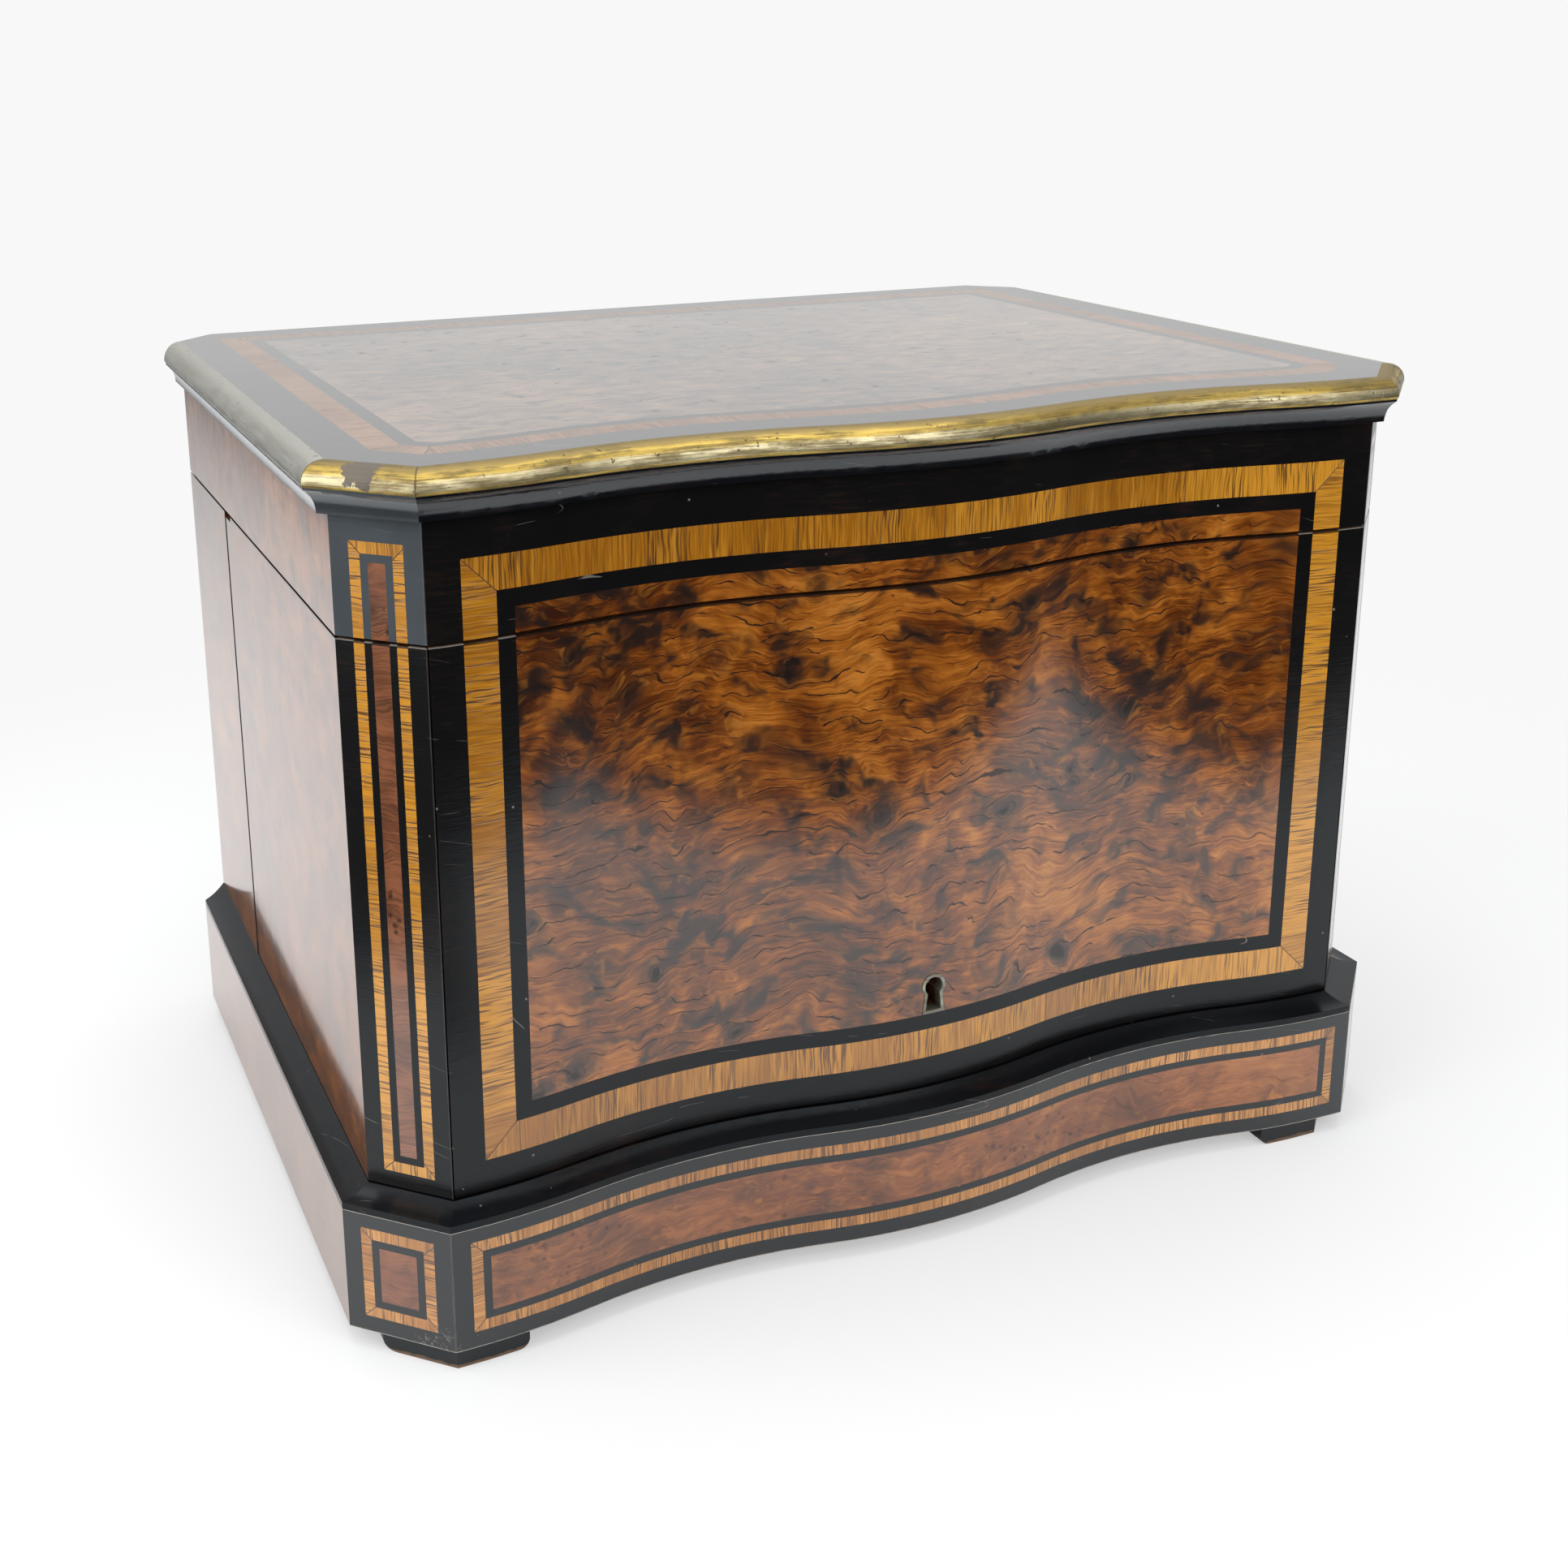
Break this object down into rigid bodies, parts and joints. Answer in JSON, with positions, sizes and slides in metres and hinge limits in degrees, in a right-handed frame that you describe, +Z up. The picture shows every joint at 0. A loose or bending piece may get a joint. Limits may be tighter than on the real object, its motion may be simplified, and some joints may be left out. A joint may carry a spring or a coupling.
{
  "type": "liquor case",
  "caption": "Table liquor case with serpentine front, lifting lid with folding front flap, swinging corner doors, lock and a fitted tray of decanters and glasses.",
  "frame": {"origin": "floor under the middle of the case", "axes": "+X to the right, +Y to the back, +Z up"},
  "size_m": [0.336, 0.2529, 0.2403],
  "materials": {
    "burl_veneer": "polished burl veneer",
    "crossband_veneer": "polished crossbanded veneer",
    "ebonised_wood": "ebonised, satin",
    "carcass_wood": "stained and waxed",
    "tray_wood": "polished rosewood",
    "brass": "aged brass",
    "steel": "plain steel",
    "glass": "clear glass"
  },
  "bodies": {
    "case": {"feet": "ebonised_wood", "plinth_boards": "carcass_wood", "bottom_board": "carcass_wood", "plinth_moulding": "ebonised_wood", "plinth_burl": "burl_veneer", "plinth_crossband": "crossband_veneer", "plinth_ebony": "ebonised_wood", "strike_plate": "brass", "back_panel": "carcass_wood", "rear_stiles": "carcass_wood", "stile_veneers": "burl_veneer", "door_top_pivots": "brass", "door_bottom_pivots": "brass", "lid_hinge_case_leaves": "brass", "lid_hinge_pins": "brass", "case_screws": "steel", "tray_board": "tray_wood", "tray_gallery": "tray_wood", "tray_deck": "tray_wood", "tray_handle": "brass", "decanters": "glass", "stoppers": "glass", "glasses": "glass"},
    "lid": {"lid_top_board": "carcass_wood", "lid_front_rail": "carcass_wood", "lid_side_rails": "carcass_wood", "lid_back_rail": "carcass_wood", "lid_cavetto": "ebonised_wood", "lid_brass_moulding": "brass", "lid_rim_burl": "burl_veneer", "lid_rim_crossband": "crossband_veneer", "lid_rim_ebony": "ebonised_wood", "lid_hinge_lid_leaves": "brass", "flap_hinge_lid_leaves": "brass", "flap_hinge_pins": "brass", "lid_screws": "steel", "lid_top_burl": "burl_veneer", "lid_top_crossband": "crossband_veneer", "lid_top_ebony": "ebonised_wood"},
    "front_flap": {"flap_panel": "carcass_wood", "flap_burl": "burl_veneer", "flap_crossband": "crossband_veneer", "flap_ebony": "ebonised_wood", "keyhole_escutcheon": "brass", "flap_hinge_flap_leaves": "brass", "flap_screws": "steel", "lock_case": "steel", "lock_cover": "brass"},
    "lock_bolt": {"lock_bolt": "steel"},
    "left_door": {"left_side_panel": "carcass_wood", "left_corner_post": "carcass_wood", "left_door_burl": "burl_veneer", "left_door_crossband": "crossband_veneer", "left_door_ebony": "ebonised_wood"},
    "right_door": {"right_side_panel": "carcass_wood", "right_corner_post": "carcass_wood", "right_door_burl": "burl_veneer", "right_door_crossband": "crossband_veneer", "right_door_ebony": "ebonised_wood"}
  },
  "joints": [
    {"name": "lid_open", "type": "hinge", "parent": "case", "child": "lid", "pos_m": [0, 0.12425, 0.1961], "axis": [-1, 0, 0], "range_deg": [0, 100]},
    {"name": "front_fold", "type": "hinge", "parent": "lid", "child": "front_flap", "pos_m": [0, -0.09975, 0.1961], "axis": [1, 0, 0], "range_deg": [0, 75]},
    {"name": "left_door_swing", "type": "hinge", "parent": "case", "child": "left_door", "pos_m": [-0.155, 0.04055, 0.12], "axis": [0, 0, -1], "range_deg": [0, 90]},
    {"name": "right_door_swing", "type": "hinge", "parent": "case", "child": "right_door", "pos_m": [0.155, 0.04055, 0.12], "axis": [0, 0, 1], "range_deg": [0, 90]},
    {"name": "lock_bolt_throw", "type": "slide", "parent": "front_flap", "child": "lock_bolt", "axis": [0, 0, -1], "range_m": [0, 0.005]}
  ],
  "couplings": [
    {"joint": "front_fold", "follows": "lid_open", "ratio": 0.75}
  ]
}
